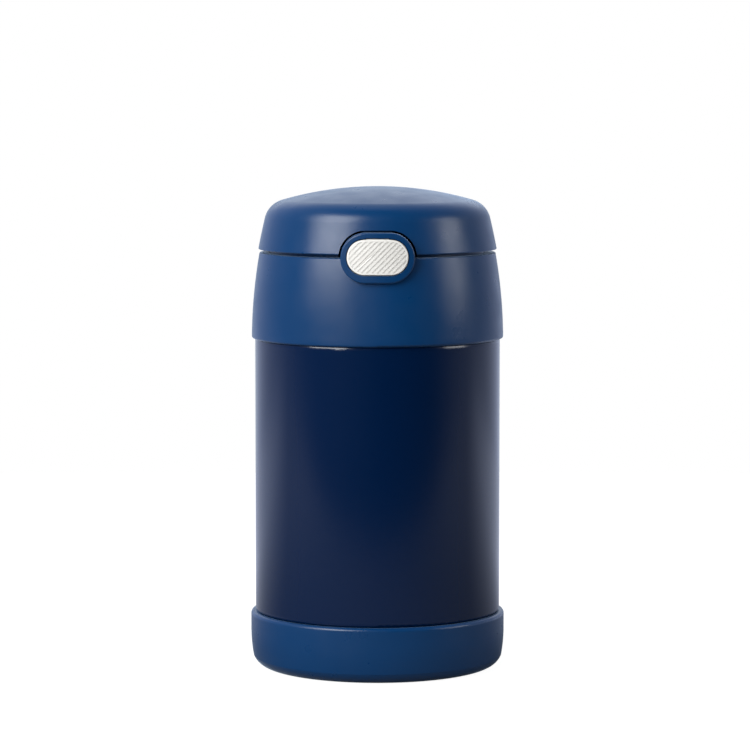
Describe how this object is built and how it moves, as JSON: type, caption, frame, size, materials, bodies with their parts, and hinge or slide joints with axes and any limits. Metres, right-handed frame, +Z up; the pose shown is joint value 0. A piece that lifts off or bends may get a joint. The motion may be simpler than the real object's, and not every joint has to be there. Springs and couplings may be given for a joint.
{
  "type": "insulated food jar",
  "caption": "Vacuum-insulated steel food jar with a screw-on stopper, a push-button hinged lid and a folding spoon on a tray.",
  "frame": {"origin": "centre of the foot ring that the jar stands on", "axes": "+Z up along the jar's axis, -Y towards the push button, +Y towards the lid's hinge"},
  "size_m": [0.094, 0.0955, 0.1778],
  "materials": {
    "paint_navy": "glossy navy",
    "steel_bright": "bright satin",
    "steel_spring": "drawn wire",
    "plastic_blue": "fine matte",
    "plastic_pale": "satin off-white",
    "plastic_inner": "satin",
    "silicone": "soft matte",
    "foam": "fine foam",
    "getter_alloy": "sintered"
  },
  "bodies": {
    "jar_body": {"outer_shell": "paint_navy", "inner_vessel": "steel_bright", "outer_bottom": "steel_bright", "getter": "getter_alloy", "vacuum_seal_bead": "getter_alloy", "base_cap": "plastic_blue"},
    "seal_ring": {"stopper_seal": "silicone"},
    "stopper_unit": {"stopper": "plastic_inner", "stopper_foam": "foam", "collar": "plastic_blue", "spoon_tray": "plastic_inner", "hinge_pin": "steel_bright", "lid_spring": "steel_spring", "latch_spring": "steel_spring", "spoon_bowl": "steel_bright", "spoon_rivet": "steel_bright"},
    "lid": {"lid_shell": "plastic_blue", "lid_liner": "plastic_inner"},
    "push_button": {"button": "plastic_pale", "latch_slider": "plastic_inner"},
    "spoon_grip": {"spoon_handle": "steel_bright"}
  },
  "joints": [
    {"name": "stopper_lift", "type": "slide", "parent": "jar_body", "child": "seal_ring", "axis": [0, 0, 1], "range_m": [0, 0.034]},
    {"name": "stopper_turn", "type": "hinge", "parent": "seal_ring", "child": "stopper_unit", "pos_m": [0, 0, 0.143], "axis": [0, 0, 1], "range_deg": [0, 1530]},
    {"name": "lid_hinge", "type": "hinge", "parent": "stopper_unit", "child": "lid", "pos_m": [0, 0.0446, 0.1541], "axis": [-1, 0, 0], "range_deg": [0, 110], "deforming": ["lid_spring"]},
    {"name": "button_press", "type": "slide", "parent": "stopper_unit", "child": "push_button", "axis": [0, 1, 0], "range_m": [0, 0.002], "stiffness_N_per_m": 300, "springref_m": -0.004, "deforming": ["latch_spring"]},
    {"name": "spoon_fold", "type": "hinge", "parent": "stopper_unit", "child": "spoon_grip", "pos_m": [0.0305, 0, 0.1552], "axis": [0, 1, 0], "range_deg": [0, 6]}
  ],
  "couplings": [
    {"joint": "stopper_lift", "follows": "stopper_turn", "m_per_rad": 0.0012732}
  ]
}
